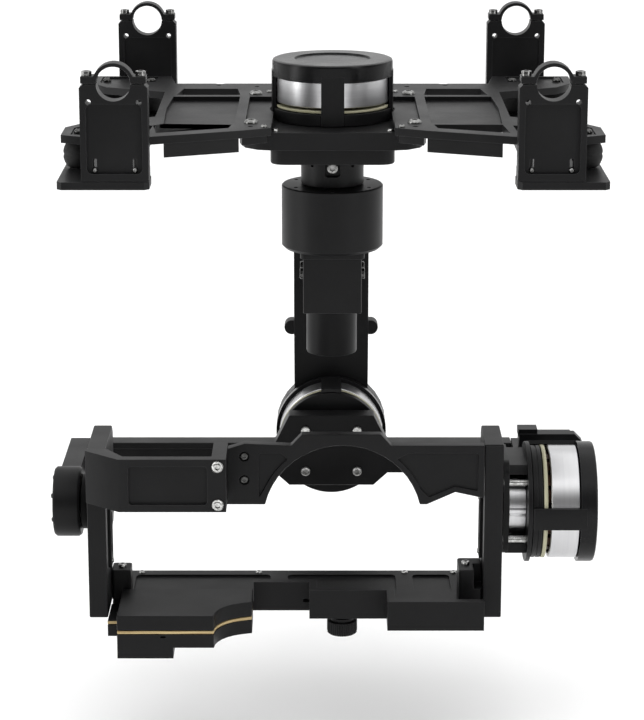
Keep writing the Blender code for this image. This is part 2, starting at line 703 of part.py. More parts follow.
def electronics(parent):
    """Control electronics under the cage's left side: a lid, a circuit board and a stepped box."""
    lid_z, board_z, box_z = (-0.0380, -0.0320), (-0.0394, -0.0383), (-0.0451, -0.0397)
    piece("electronics_lid", plate([electronics_outline(0)], "Z", *lid_z), BLACK, parent)
    ledge = (-0.0878, -0.0820), (-0.0340, -0.0150)
    board = piece("control_board", plate([electronics_outline(0.0001)], "Z", *board_z), BOARD, parent)
    join(board, box(*ledge, board_z))
    made = piece("electronics_box", plate([electronics_outline(0)], "Z", *box_z), BLACK, parent)
    join(made, box(*ledge, (box_z[0] + 0.0006, box_z[1] - 0.0002)))
    join(made, box((-0.0833, -0.0616), (-0.0450, -0.0200), (-0.0495, box_z[0] + 0.001)))


def idle_bearing(parent):
    """The bearing flange on the left post, with the pin that turns in the yoke's eye."""
    inner = LEFT_POST_X[0] - GAP
    outer = EYE_X[1] + GAP
    profile = [(0, inner), (0.0085, inner), (0.0110, inner - 0.0018), (0.0110, outer), (PIN_RADIUS, outer)]
    profile += [(PIN_RADIUS, -0.1065), (0, -0.1065)]
    return piece("idle_bearing", turned(profile, along_x(), 24), BLACK, parent)


def camera_screw(parent):
    """The knurled screw below the tray, in coordinates about its own axis."""
    low, high = -0.0500, -0.0430
    head = [(0, high), (SCREW_RADIUS - 0.0008, high), (SCREW_RADIUS, high - 0.0008)]
    head += [(SCREW_RADIUS, low + 0.0008), (SCREW_RADIUS - 0.0008, low), (0, low)]
    made = piece("camera_screw", turned(head, steps=24), BLACK, parent)
    stud = [(0, -0.0330), (0.0026, -0.0330), (0.0026, high - 0.001), (0, high - 0.001)]
    join(made, turned(stud, steps=SMALL_STEPS))
    return made


def build_hanger(root):
    for side, left_right in ((-1, "left"), (1, "right")):
        for end, front_rear in ((-1, "front"), (1, "rear")):
            where = front_rear + "_" + left_right
            clamp_block("clamp_block_" + where, side, end, root)
            clamp_cap("clamp_cap_" + where, side, end, root)
            for x, which in zip(DAMPER_X, ("inner", "outer")):
                damper("damper_" + which + "_" + where, side * x, end * DAMPER_Y, root)
        side_rail("rail_" + left_right, side, root)
        wing("wing_" + left_right, side, root)
    centre_plate(root)
    yaw_block(root)


def build_cage(tilt, screw):
    cage_posts(tilt)
    tray(tilt)
    lens_plate(tilt)
    grip_arm(tilt)
    electronics(tilt)
    idle_bearing(tilt)
    camera_screw(screw)


def build():
    root = joint_empty("hanger_root", (0, 0, 0))
    yaw = joint_empty("yaw_axis", (0, 0, 0), root)
    roll = joint_empty("roll_axis", (0, 0, CROSSING_Z), yaw)
    tilt = joint_empty("tilt_axis", (0, 0, CROSSING_Z), roll)
    screw = joint_empty("screw_axis", (SCREW_X, SCREW_Y, CROSSING_Z), tilt)

    build_hanger(root)
    yaw_stand = along_z(0, 0, YAW_MOTOR_Z)
    motor("yaw", yaw_stand, YAW_RADIUS, YAW_RADIUS - GAP, YAW_LENGTH, YAW_POSTS, root, yaw, -0.0145)

    neck(yaw)
    slip_ring_housing(yaw)
    slip_ring(yaw)
    arm(yaw)
    roll_plate(yaw)
    roll_stand = along_y(0, ROLL_MOTOR_Y, CROSSING_Z)
    motor("roll", roll_stand, SIDE_RADIUS, SIDE_BASE_RADIUS, ROLL_LENGTH, SIDE_POSTS, yaw, roll, -0.0020)

    yoke_beam(roll)
    yoke_arm_left(roll)
    yoke_arm_right(roll)
    tilt_flange(roll)
    tilt_collar(roll)
    tilt_stand = along_x(TILT_MOTOR_X, 0, CROSSING_Z)
    tilt_reach = RIGHT_POST_X[1] + GAP - TILT_MOTOR_X
    motor("tilt", tilt_stand, SIDE_RADIUS, SIDE_BASE_RADIUS, TILT_LENGTH, SIDE_POSTS, roll, tilt, tilt_reach)
    build_cage(tilt, screw)


def finish():
    """Applies the Booleans and shades each piece smooth, with its hard edges kept sharp."""
    graph = bpy.context.evaluated_depsgraph_get()
    solids = [obj for obj in PARTS.objects if obj.type == "MESH"]
    meshes = [bpy.data.meshes.new_from_object(obj.evaluated_get(graph)) for obj in solids]
    for obj, mesh in zip(solids, meshes):
        obj.modifiers.clear()
        mesh.name = obj.name
        obj.data = mesh
        mesh.shade_smooth()
        mesh.set_sharp_from_angle(angle=math.radians(30))


clear_scene()
PARTS = new_collection(OBJECT_NAME)
CUTTERS = new_collection("cutters")
CUTTERS.hide_render = True
build()
finish()
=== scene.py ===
import json
import math

import bmesh
import bpy
from mathutils import Matrix, Vector

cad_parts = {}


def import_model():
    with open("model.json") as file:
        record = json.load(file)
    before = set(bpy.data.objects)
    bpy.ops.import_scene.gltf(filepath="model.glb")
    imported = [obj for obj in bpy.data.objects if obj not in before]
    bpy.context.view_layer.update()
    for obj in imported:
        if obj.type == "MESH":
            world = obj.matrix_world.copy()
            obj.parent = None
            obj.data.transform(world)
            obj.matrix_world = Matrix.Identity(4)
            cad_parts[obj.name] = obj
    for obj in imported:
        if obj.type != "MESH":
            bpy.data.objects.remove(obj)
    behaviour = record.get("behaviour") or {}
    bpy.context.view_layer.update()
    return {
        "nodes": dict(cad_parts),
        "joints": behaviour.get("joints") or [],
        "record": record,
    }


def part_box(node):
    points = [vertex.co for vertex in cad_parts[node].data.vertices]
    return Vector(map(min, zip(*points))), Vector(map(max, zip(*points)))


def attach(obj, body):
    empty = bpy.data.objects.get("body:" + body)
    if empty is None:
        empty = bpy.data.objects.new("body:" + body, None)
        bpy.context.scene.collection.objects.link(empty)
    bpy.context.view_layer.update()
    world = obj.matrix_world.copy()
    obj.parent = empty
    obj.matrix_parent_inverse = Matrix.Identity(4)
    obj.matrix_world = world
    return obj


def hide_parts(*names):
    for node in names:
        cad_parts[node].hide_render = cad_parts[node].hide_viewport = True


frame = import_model()
NODES = frame["nodes"]
BODY_OF = {node: body for body, nodes in frame["record"]["behaviour"]["bodies"].items() for node in nodes}
CROSSING = Vector(next(j for j in frame["joints"] if j["name"] == "tilt")["pos_m"])  # roll and tilt axes meet

SHARP = math.radians(40)
WELD = 0.000002
# The paler edge line is partly wear and partly a painted highlight.
EDGE_WEAR_AND_HIGHLIGHT_WIDTH = 0.0004  # of the paler line along an anodised edge


def rel(height):
    """A height above the crossing of the axes, in the frame."""
    return CROSSING.z + height


# Materials


class Shader:
    """A small node-tree builder: one Principled surface and the textures that feed it."""

    def __init__(self, name, metallic=0.0, specular=0.5):
        self.material = bpy.data.materials.new(name)
        self.material.use_nodes = True
        self.tree = self.material.node_tree
        self.surface = self.tree.nodes["Principled BSDF"]
        self.surface.inputs["Metallic"].default_value = metallic
        self.surface.inputs["Specular IOR Level"].default_value = specular
        self.place = self.node("ShaderNodeTexCoord").outputs["Object"]

    def node(self, kind, **settings):
        made = self.tree.nodes.new(kind)
        for key, value in settings.items():
            setattr(made, key, value)
        return made

    def link(self, source, target):
        self.tree.links.new(source, target)

    def feed(self, socket, value):
        if isinstance(value, bpy.types.NodeSocket):
            self.link(value, socket)
        else:
            socket.default_value = value

    def math(self, operation, first, second):
        made = self.node("ShaderNodeMath", operation=operation)
        self.feed(made.inputs[0], first)
        self.feed(made.inputs[1], second)
        return made.outputs[0]

    def scaled(self, scale):
        made = self.node("ShaderNodeMapping")
        self.link(self.place, made.inputs["Vector"])
        made.inputs["Scale"].default_value = scale
        return made.outputs[0]

    def noise(self, scale, detail=2.0, rough=0.5):
        """Noise at a scale in turns per metre, one number or one for each axis."""
        made = self.node("ShaderNodeTexNoise")
        vector = scale if isinstance(scale, tuple) else (scale, scale, scale)
        self.link(self.scaled(vector), made.inputs["Vector"])
        made.inputs["Scale"].default_value = 1.0
        made.inputs["Detail"].default_value = detail
        made.inputs["Roughness"].default_value = rough
        return made.outputs["Fac"]

    def ramp(self, factor, *stops):
        """Colours or greys along a factor, each stop (place, value)."""
        made = self.node("ShaderNodeValToRGB")
        self.feed(made.inputs[0], factor)
        elements = made.color_ramp.elements
        while len(elements) < len(stops):
            elements.new(0.5)
        for element, (place, value) in zip(elements, stops):
            element.position = place
            colour = value if isinstance(value, tuple) else (value, value, value)
            element.color = (*colour, 1.0)
        return made.outputs[0]

    def mix(self, factor, first, second):
        made = self.node("ShaderNodeMix", data_type="RGBA")
        self.feed(made.inputs[0], factor)
        for socket, value in ((made.inputs[6], first), (made.inputs[7], second)):
            self.feed(socket, (*value, 1.0) if isinstance(value, tuple) else value)
        return made.outputs[2]

    def edges(self):
        """1 along edges, where wear and a painted highlight go, and 0 on open faces."""
        rounded = self.node("ShaderNodeBevel", samples=4)
        rounded.inputs["Radius"].default_value = EDGE_WEAR_AND_HIGHLIGHT_WIDTH
        facing = self.node("ShaderNodeVectorMath", operation="DOT_PRODUCT")
        self.link(rounded.outputs[0], facing.inputs[0])
        self.link(self.node("ShaderNodeNewGeometry").outputs["Normal"], facing.inputs[1])
        return self.ramp(facing.outputs["Value"], (0.80, 1.0), (0.995, 0.0))

    def colour(self, value):
        self.feed(self.surface.inputs["Base Color"], value)

    def roughness(self, value):
        self.link(value, self.surface.inputs["Roughness"])

    def bump(self, height, strength, distance):
        made = self.node("ShaderNodeBump")
        made.inputs["Strength"].default_value = strength
        made.inputs["Distance"].default_value = distance
        self.link(height, made.inputs["Height"])
        self.link(made.outputs[0], self.surface.inputs["Normal"])


def anodised(name, dark, light, rough, grain):
    """Black anodised aluminium: a blasted or brushed grain, faint mottling and paler edges, partly wear and
    partly a painted highlight.
    """
    made = Shader(name, specular=0.16)
    mottle = made.noise(55.0, 3.0)
    fine = made.noise(grain, 3.0, 0.6)
    body = made.ramp(mottle, (0.30, dark), (0.72, light))
    speck = made.ramp(fine, (0.40, 0.85), (0.70, 1.25))
    toned = made.node("ShaderNodeMix", data_type="RGBA", blend_type="MULTIPLY")
    toned.inputs[0].default_value = 1.0
    made.link(body, toned.inputs[6])
    made.link(speck, toned.inputs[7])
    # Paler edge colour: partly wear, partly a painted highlight along every edge.
    edge_wear_and_highlight = (0.032, 0.032, 0.033)
    made.colour(made.mix(made.edges(), toned.outputs[2], edge_wear_and_highlight))
    base = made.ramp(mottle, (0.25, rough - 0.05), (0.75, rough + 0.06))
    flicker = made.math("MULTIPLY", made.math("SUBTRACT", fine, 0.5), 0.16)
    made.roughness(made.math("ADD", base, flicker))
    made.bump(fine, 0.22, 0.00004)
    return made.material


def across(axis, plain, fine):
    """Turns per metre that are fine along one axis and plain along the other two."""
    return tuple(fine if other == axis else plain for other in "XYZ")


def turned_metal(name, axis):
    """Bright aluminium with fine lathe rings across its axis and slight bands of tarnish."""
    made = Shader(name, metallic=1.0)
    rings = made.noise(across(axis, 26.0, 9000.0), 2.0, 0.6)
    bands = made.noise(across(axis, 18.0, 700.0), 2.0)
    deep, pale = (0.564, 0.564, 0.576), (0.630, 0.630, 0.636)
    both = made.math("ADD", made.math("MULTIPLY", rings, 0.5), made.math("MULTIPLY", bands, 0.5))
    made.colour(made.ramp(both, (0.34, deep), (0.66, pale)))
    made.roughness(made.ramp(rings, (0.3, 0.28), (0.7, 0.34)))
    made.bump(rings, 0.02, 0.00002)
    return made.material


def steel(name, tone):
    """A screw's metal: fine grain, with darker patches."""
    made = Shader(name, metallic=1.0)
    grain = made.noise(3800.0, 2.0)
    patches = made.noise(900.0, 2.0)
    dull = (tone * 0.62, tone * 0.62, tone * 0.60)
    bright = (tone * 1.2, tone * 1.2, tone * 1.18)
    made.colour(made.ramp(patches, (0.35, dull), (0.65, bright)))
    made.roughness(made.ramp(grain, (0.3, 0.18), (0.7, 0.34)))
    made.bump(grain, 0.15, 0.00003)
    return made.material


def laminate(name, dark, light, axis):
    """The cut edge of a circuit board: thin layers across the board's thickness."""
    made = Shader(name, specular=0.4)
    strata = made.noise(across(axis, 60.0, 5200.0), 1.0)
    made.colour(made.ramp(strata, (0.35, dark), (0.62, light)))
    made.roughness(made.ramp(made.noise(1500.0), (0.3, 0.42), (0.7, 0.62)))
    made.bump(strata, 0.2, 0.00004)
    return made.material


def rubber(name):
    """Dull black moulded rubber with a coarse skin."""
    made = Shader(name, specular=0.25)
    cloud = made.noise(140.0, 3.0)
    grain = made.noise(2600.0, 2.0)
    made.colour(made.ramp(cloud, (0.3, (0.010, 0.010, 0.010)), (0.7, (0.022, 0.022, 0.022))))
    made.roughness(made.ramp(grain, (0.3, 0.62), (0.7, 0.82)))
    made.bump(grain, 0.35, 0.00008)
    return made.material


def winding(name):
    """Lacquered copper wire, darkened well below its own tone as painted shade for the narrow gap between the
    board and the rotor.
    """
    made = Shader(name, metallic=0.9)
    strands = made.noise(1800.0, 1.0)
    # Painted shade: both copper tones are darkened to stand for the shade in that gap.
    made.colour(made.ramp(strands, (0.35, (0.016, 0.008, 0.005)), (0.65, (0.060, 0.026, 0.013))))
    made.roughness(made.ramp(strands, (0.3, 0.30), (0.7, 0.50)))
    made.bump(strands, 0.5, 0.0001)
    return made.material


BLASTED, BRUSHED = (5200.0, 5200.0, 5200.0), (5200.0, 340.0, 5200.0)
NIGHT = (0.0050, 0.0050, 0.0053), (0.0085, 0.0085, 0.0089)
BLACK = anodised("black_anodised_look", *NIGHT, 0.42, BLASTED)
PLATE = anodised("black_plate_look", (0.0060, 0.0060, 0.0062), (0.0100, 0.0100, 0.0104), 0.44, BRUSHED)
HOUSING = anodised("motor_housing_look", *NIGHT, 0.26, BLASTED)
# A darker, rougher copy of the black anodising: painted shade for pieces set inside, where shade falls.
PAINTED_SHADE_BLACK = anodised("black_painted_shade_look", (0.0035, 0.0035, 0.0036), (0.0060, 0.0060, 0.0063), 0.55, BLASTED)
STEEL = steel("screw_steel", 0.55)
GREY_STEEL = steel("grey_screw_steel", 0.26)
DARK_STEEL = steel("dark_screw_steel", 0.08)
SILVER = {axis: turned_metal("turned_aluminium_" + axis.lower(), axis) for axis in "XYZ"}
RESIN = (0.30, 0.29, 0.18), (0.50, 0.48, 0.34)
CREAM = {axis: laminate("insulator_" + axis.lower(), *RESIN, axis) for axis in "XYZ"}
BOARD = laminate("board_edge", (0.30, 0.20, 0.085), (0.56, 0.44, 0.22), "Z")
RUBBER = rubber("damper_rubber_look")
COPPER = winding("winding_painted_shade_look")


# Shapes


def new_object(name, mesh, material):
    obj = bpy.data.objects.new(name, mesh)
    obj.data.materials.clear()
    obj.data.materials.append(material)
    bpy.context.scene.collection.objects.link(obj)
    return obj


def smooth(mesh, angle=SHARP):
    mesh.shade_smooth()
    mesh.set_sharp_from_angle(angle=angle)


def lathe(rings, steps, closed=False):
    """A solid of rings about Z, from its lower outside over the top and inwards.

    A ring is (radius, height), and a radius may be a function of the angle. closed joins the last
    ring to the first, and otherwise both ends are capped.
    """
    mesh = bpy.data.meshes.new("lathe")
    form = bmesh.new()
    loops = []
    for radius, height in rings:
        loop = []
        for step in range(steps):
            angle = 2 * math.pi * step / steps
            reach = radius(angle) if callable(radius) else radius
            loop.append(form.verts.new((reach * math.cos(angle), reach * math.sin(angle), height)))
        loops.append(loop)
    pairs = list(zip(loops, loops[1:]))
    if closed:
        pairs.append((loops[-1], loops[0]))
    for lower, upper in pairs:
        for step in range(steps):
            after = (step + 1) % steps
            form.faces.new((lower[step], lower[after], upper[after], upper[step]))
    if not closed:
        form.faces.new(list(reversed(loops[0])))
        form.faces.new(loops[-1])
    bmesh.ops.recalc_face_normals(form, faces=form.faces)
    form.to_mesh(mesh)
    form.free()
    return mesh


def hexagon(flat):
    """The radius of a hexagon, flat being half the width across its flats."""
    def reach(angle):
        return flat / math.cos((angle + math.pi / 6) % (math.pi / 3) - math.pi / 6)
    return reach


def slab(outlines, axis, low, high):
    """A flat solid from closed outlines, the first its edge and the others holes."""
    enlarged = 1000
    curve = bpy.data.curves.new("outline", "CURVE")
    curve.dimensions = "2D"
    curve.fill_mode = "BOTH"
    curve.extrude = (high - low) / 2 * enlarged
    for outline in outlines:
        spline = curve.splines.new("POLY")
        spline.points.add(len(outline) - 1)
        for point, (u, v) in zip(spline.points, outline):
            point.co = (u * enlarged, v * enlarged, 0, 1)
        spline.use_cyclic_u = True
    guide = bpy.data.objects.new("outline", curve)
    bpy.context.scene.collection.objects.link(guide)
    mesh = bpy.data.meshes.new_from_object(guide.evaluated_get(bpy.context.evaluated_depsgraph_get()))
    bpy.data.objects.remove(guide, do_unlink=True)
    turn = {
        "X": Matrix(((0, 0, 1), (1, 0, 0), (0, 1, 0))).to_4x4(),
        "Y": Matrix(((1, 0, 0), (0, 0, -1), (0, 1, 0))).to_4x4(),
        "Z": Matrix.Identity(4),
    }[axis]
    middle = (low + high) / 2
    shift = {"X": (middle, 0, 0), "Y": (0, middle, 0), "Z": (0, 0, middle)}[axis]
    form = bmesh.new()
    form.from_mesh(mesh)
    bmesh.ops.scale(form, vec=Vector((1, 1, 1)) / enlarged, verts=form.verts)
    bmesh.ops.remove_doubles(form, verts=form.verts, dist=0.00001)
    bmesh.ops.transform(form, matrix=Matrix.Translation(shift) @ turn, verts=form.verts)
    bmesh.ops.recalc_face_normals(form, faces=form.faces)
    form.to_mesh(mesh)
    form.free()
    return mesh


def arc(u, v, radius, start, end, steps):
    angles = [math.radians(start + (end - start) * step / steps) for step in range(steps + 1)]
    return [(u + radius * math.cos(angle), v + radius * math.sin(angle)) for angle in angles]


def rounded(u, v, radius):
    """A rectangle's outline with round corners, from its limits along each way."""
    low_u, high_u = min(u) + radius, max(u) - radius
    low_v, high_v = min(v) + radius, max(v) - radius
    corners = ((high_u, high_v, 0), (low_u, high_v, 90), (low_u, low_v, 180), (high_u, low_v, 270))
    return [point for cu, cv, start in corners for point in arc(cu, cv, radius, start, start + 90, 5)]


def block(x, y, z):
    mesh = bpy.data.meshes.new("block")
    lows = Vector([min(pair) for pair in (x, y, z)])
    highs = Vector([max(pair) for pair in (x, y, z)])
    form = bmesh.new()
    place = Matrix.Translation((lows + highs) / 2) @ Matrix.Diagonal((*(highs - lows), 1))
    bmesh.ops.create_cube(form, size=1, matrix=place)
    form.to_mesh(mesh)
    form.free()
    return mesh


def toward(direction, point):
    """Stands local +Z along a direction at a point."""
    return Matrix.Translation(point) @ Vector(direction).to_track_quat("Z", "Y").to_matrix().to_4x4()


def rod(direction, point, radius, length):
    """A cylinder from a point along a direction."""
    mesh = lathe([(radius, 0), (radius, length)], 32)
    mesh.transform(toward(direction, point))
    return mesh


def solid_from(mesh, cuts=(), bevel=0.0003):
    """The mesh with its cuts made and its edges rounded, as a new mesh."""
    base = bpy.data.objects.new("base", mesh)
    bpy.context.scene.collection.objects.link(base)
    helpers = []
    for cutter in cuts:
        helper = bpy.data.objects.new("helper", cutter)
        bpy.context.scene.collection.objects.link(helper)
        helpers.append(helper)
        modifier = base.modifiers.new("Cut", "BOOLEAN")
        modifier.operation = "DIFFERENCE"
        modifier.solver = "EXACT"
        modifier.object = helper
    flat = base.modifiers.new("Flat", "DECIMATE")
    flat.decimate_type = "DISSOLVE"
    flat.angle_limit = math.radians(1.0)
    if bevel:
        edge = base.modifiers.new("Edge", "BEVEL")
        edge.width = bevel
        edge.segments = 2
        edge.limit_method = "ANGLE"
        edge.angle_limit = math.radians(48)
        edge.miter_outer = "MITER_ARC"
    made = bpy.data.meshes.new_from_object(base.evaluated_get(bpy.context.evaluated_depsgraph_get()))
    for helper in helpers + [base]:
        bpy.data.objects.remove(helper, do_unlink=True)
    smooth(made)
    weigh = bpy.data.objects.new("weigh", made)
    bpy.context.scene.collection.objects.link(weigh)
    normals = weigh.modifiers.new("Normals", "WEIGHTED_NORMAL")
    normals.keep_sharp = True
    made = bpy.data.meshes.new_from_object(weigh.evaluated_get(bpy.context.evaluated_depsgraph_get()))
    bpy.data.objects.remove(weigh, do_unlink=True)
    return made


def cad_mesh(node):
    """A welded copy of a CAD node's surface, free of its triangles' inner edges."""
    form = bmesh.new()
    form.from_mesh(NODES[node].data)
    bmesh.ops.remove_doubles(form, verts=form.verts, dist=WELD)
    bmesh.ops.dissolve_limit(form, angle_limit=math.radians(0.5), verts=form.verts, edges=form.edges)
    mesh = bpy.data.meshes.new(node + "_form")
    form.to_mesh(mesh)
    form.free()
    for name in ("custom_normal", "sharp_edge", "sharp_face"):
        if name in mesh.attributes:
            mesh.attributes.remove(mesh.attributes[name])
    return mesh


def stand_for(node, mesh, material):
    """A finished piece in place of a CAD node, on its body."""
    obj = new_object(node + "_body", mesh, material)
    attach(obj, BODY_OF[node])
    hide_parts(node)


def refine(node, material, cuts=(), bevel=0.0003):
    """A CAD node's own surface, cut and with its edges rounded, in the node's place."""
    stand_for(node, solid_from(cad_mesh(node), cuts, bevel), material)


def extra(name, mesh, material, body):
    """A piece that the CAD has no node for."""
    obj = new_object(name, mesh, material)
    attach(obj, body)


# Fasteners

SCREW_STEPS = 48


def group(name, meshes, material, body):
    """Several small steel solids as one piece."""
    form = bmesh.new()
    for mesh in meshes:
        form.from_mesh(mesh)
    joined = bpy.data.meshes.new(name)
    form.to_mesh(joined)
    form.free()
    smooth(joined)
    extra(name, joined, material, body)


def placed(mesh, direction, point):
    mesh.transform(toward(direction, point))
    return mesh


def cap_screw(direction, point, radius, height):
    """A socket head with a rounded rim and a hexagonal recess."""
    rim = 0.16 * radius
    key = hexagon(0.50 * radius)
    rings = [(radius, 0), (radius, height - rim), (radius - 0.3 * rim, height - 0.3 * rim)]
    rings += [(radius - rim, height), (key, height), (key, 0.4 * height)]
    return placed(lathe(rings, SCREW_STEPS), direction, point)


def button_screw(direction, point, radius, height):
    """A domed head with a hexagonal recess."""
    key = hexagon(0.40 * radius)
    dome = [(1.0, 0.0), (1.0, 0.22), (0.93, 0.52), (0.78, 0.80), (0.56, 1.0)]
    rings = [(radius * across, height * up) for across, up in dome]
    rings += [(key, height), (key, 0.3 * height)]
    return placed(lathe(rings, SCREW_STEPS), direction, point)


def screws(name, kind, direction, spots, radius, height, material, body):
    """Equal screws as one piece, kind being the function that makes a head."""
    group(name, [kind(direction, spot, radius, height) for spot in spots], material, body)


def circle_points(count, start, radius):
    """Evenly spaced points round a circle, the first at a start in degrees."""
    angles = [math.radians(start + 360 * index / count) for index in range(count)]
    return [(radius * math.cos(angle), radius * math.sin(angle)) for angle in angles]


# Rail clamps and side rails

GAP = 0.0003
SPLIT = GAP / 2  # half the slit between a clamp's block and its cap
CLAMP_X = 0.0764
CLAMP_Y = (0.0840, 0.0910)
BORE = 0.0060
CORNERS = [end + "_" + side for end in ("front", "rear") for side in ("left", "right")]
RAIL_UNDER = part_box("rail_left")[0].z
RAIL_SCREWS = (-0.0070, 0.0070)  # from a clamp's middle
SUNK = 0.0016  # depth of the counterbores under the rails and the yaw block
SCREW_RELIEF = 0.0003  # how far a sunk head stays below its face


def clamp_block(where, middle, end):
    """A block with half the bore, two holes, two slots and a panel in each face.

    It returns the two pins that stand in the outer panel.
    """
    half, bottom, top, shoulder = 0.0119, -0.0342, -SPLIT, 0.0012
    outline = [(-half, bottom), (half, bottom), (half, top - shoulder), (half - shoulder, top)]
    outline += [(u, min(v, top)) for u, v in arc(0, 0, BORE, 360, 180, 36)]
    outline += [(-half + shoulder, top), (-half, top - shoulder)]
    hole_x, hole_z, hole, slot_half, slot_z = 0.0088, -0.0063, 0.0010, 0.0007, (-0.0302, -0.0264)
    shapes = [outline] + [arc(u, hole_z, hole, 0, 337.5, 15) for u in (-hole_x, hole_x)]
    shapes += [rounded((u - slot_half, u + slot_half), slot_z, 0.0005) for u in RAIL_SCREWS]
    low, high = sorted(end * y for y in CLAMP_Y)
    solid = slab([[(u + middle, v) for u, v in shape] for shape in shapes], "Y", low, high)
    panel_half, panel_z, panel_corner = 0.0097, (-0.0316, -0.0070), 0.0020
    panel = rounded((middle - panel_half, middle + panel_half), panel_z, panel_corner)
    inner_face, face = (end * y for y in CLAMP_Y)
    deep, shallow = 0.0016, 0.0006
    cuts = [slab([panel], "Y", face - deep, face + deep)]
    cuts += [slab([panel], "Y", inner_face - shallow, inner_face + shallow)]
    stand_for("clamp_block_" + where, solid_from(solid, cuts), BLACK)
    pin_z, pin, pin_height = -0.0304, 0.0010, 0.0010
    floor_y = face - end * deep
    return [button_screw((0, end, 0), (middle + u, floor_y, pin_z), pin, pin_height) for u in RAIL_SCREWS]


def clamp(where):
    """A block and a cap round a 12 mm rail, with the screws that close and hold them."""
    middle = CLAMP_X * (-1 if "left" in where else 1)
    end = -1 if "front" in where else 1
    low, high = sorted(end * y for y in CLAMP_Y)
    pins = clamp_block(where, middle, end)

    ring, ear, ear_top = 0.0073, 0.0114, 0.0026
    outline = [(ear, SPLIT), (ear, ear_top)] + arc(0, 0, ring, 21, 159, 40) + [(-ear, ear_top), (-ear, SPLIT)]
    outline += [(u, max(v, SPLIT)) for u, v in arc(0, 0, BORE, 180, 0, 40)]
    cap = slab([[(u + middle, v) for u, v in outline]], "Y", low, high)
    stand_for("clamp_cap_" + where, solid_from(cap), BLACK)

    centre = (low + high) / 2
    closer_x, closer, closer_height = 0.0094, 0.0018, 0.0016
    spots = [(middle + u, centre, ear_top) for u in (-closer_x, closer_x)]
    heads = [cap_screw((0, 0, 1), spot, closer, closer_height) for spot in spots]
    group("clamp_screws_" + where, heads + pins, GREY_STEEL, "hanger")
    spots = [(middle + u, centre, RAIL_UNDER + SUNK) for u in RAIL_SCREWS]
    height = SUNK - SCREW_RELIEF
    screws("rail_screws_" + where, cap_screw, (0, 0, -1), spots, 0.0019, height, DARK_STEEL, "hanger")


def dampers(where):
    """Two rubber barrels with a fold at half height, and the bolts over them."""
    ends, belly, levels = 0.0036, 0.0022, 18
    fold_depth, fold_width = 0.00035, 0.06
    bolts = []
    for which in ("inner", "outer"):
        node = "damper_" + which + "_" + where
        low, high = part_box(node)
        middle = (low + high) / 2
        rings = []
        for index in range(levels + 1):
            part = index / levels
            barrel = ends + belly * math.sin(math.pi * part) ** 0.6
            fold = fold_depth * math.exp(-((part - 0.5) / fold_width) ** 2)
            rings.append((barrel - fold, low.z + (high.z - low.z) * part))
        mesh = lathe(rings, 48)
        mesh.transform(Matrix.Translation((middle.x, middle.y, 0)))
        smooth(mesh, math.radians(60))
        stand_for(node, mesh, RUBBER)
        bolts.append(button_screw((0, 0, 1), (middle.x, middle.y, PLATE_TOP - 0.0006), 0.0017, 0.0014))
    group("damper_bolts_" + where, bolts, DARK_STEEL, "hanger")


# Top plates

PLATE_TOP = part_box("wing_left")[1].z


def wing(side, sign):
    """The lobes get shallow recesses, and the web small holes and screws."""
    lobe = [(0.0712, 0.0570), (0.0905, 0.0500), (0.0938, 0.0550), (0.0938, 0.0690), (0.0905, 0.0700)]
    lobe += [(0.0712, 0.0700)]
    above, lobe_depth, hole_depth = 0.001, 0.0008, 0.0010
    cuts = []
    for end in (-1, 1):
        outline = [(sign * u, end * v) for u, v in lobe]
        cuts.append(slab([outline], "Z", PLATE_TOP - lobe_depth, PLATE_TOP + above))
    for x, y in ((0.0300, 0.0440), (0.0455, 0.0475), (0.0300, -0.0520)):
        cuts.append(rod((0, 0, 1), (sign * x, y, PLATE_TOP - hole_depth), 0.0010, 0.003))
    refine("wing_" + side, PLATE, cuts, bevel=0.00025)
    large = ((0.0300, -0.0440), (0.0300, 0.0250))
    small = ((0.0247, 0.0300), (0.0250, -0.0530))
    for kind, spots, radius, height in (("screws", large, 0.0026, 0.0013), ("pins", small, 0.0013, 0.0008)):
        name = "wing_" + kind + "_" + side
        spots = [(sign * x, y, PLATE_TOP) for x, y in spots]
        screws(name, button_screw, (0, 0, 1), spots, radius, height, GREY_STEEL, "hanger")


def side_rail(side, sign):
    """A rail with counterbores for the clamps' screws in its underside."""
    clamp_middle = sum(CLAMP_Y) / 2
    spots = [(sign * CLAMP_X + u, end * clamp_middle) for u in RAIL_SCREWS for end in (-1, 1)]
    bores = [rod((0, 0, 1), (x, y, RAIL_UNDER - 0.001), 0.0022, 0.001 + SUNK) for x, y in spots]
    refine("rail_" + side, BLACK, bores, bevel=0.0004)


def plates():
    """The wings, the rails, the centre plate and the block between it and the yaw motor."""
    for sign, side in ((-1, "left"), (1, "right")):
        wing(side, sign)
        side_rail(side, sign)
    refine("centre_plate", BLACK, bevel=0.0006)
    low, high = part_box("yaw_block")
    edge = high.x - 0.0045
    corners = [(x, y) for x in (-edge, edge) for y in (-edge, edge)]
    bores = [rod((0, 0, 1), (x, y, low.z - 0.001), 0.0027, 0.001 + SUNK) for x, y in corners]
    refine("yaw_block", BLACK, bores, bevel=0.0006)
    spots = [(x, y, low.z + SUNK) for x, y in corners]
    height = SUNK - SCREW_RELIEF
    screws("yaw_block_screws", cap_screw, (0, 0, -1), spots, 0.0023, height, DARK_STEEL, "hanger")
    spots = [(x, -0.0300, -0.0267) for x in (-0.0215, 0.0215)]
    screws("centre_plate_pins", button_screw, (0, 0, 1), spots, 0.0014, 0.0008, STEEL, "hanger")


# Motors

SHAFT = 0.0040
SHAFT_BORE = SHAFT + GAP
POST_HALF = 0.00425
RIM = 0.0003  # broken edge of a turned piece


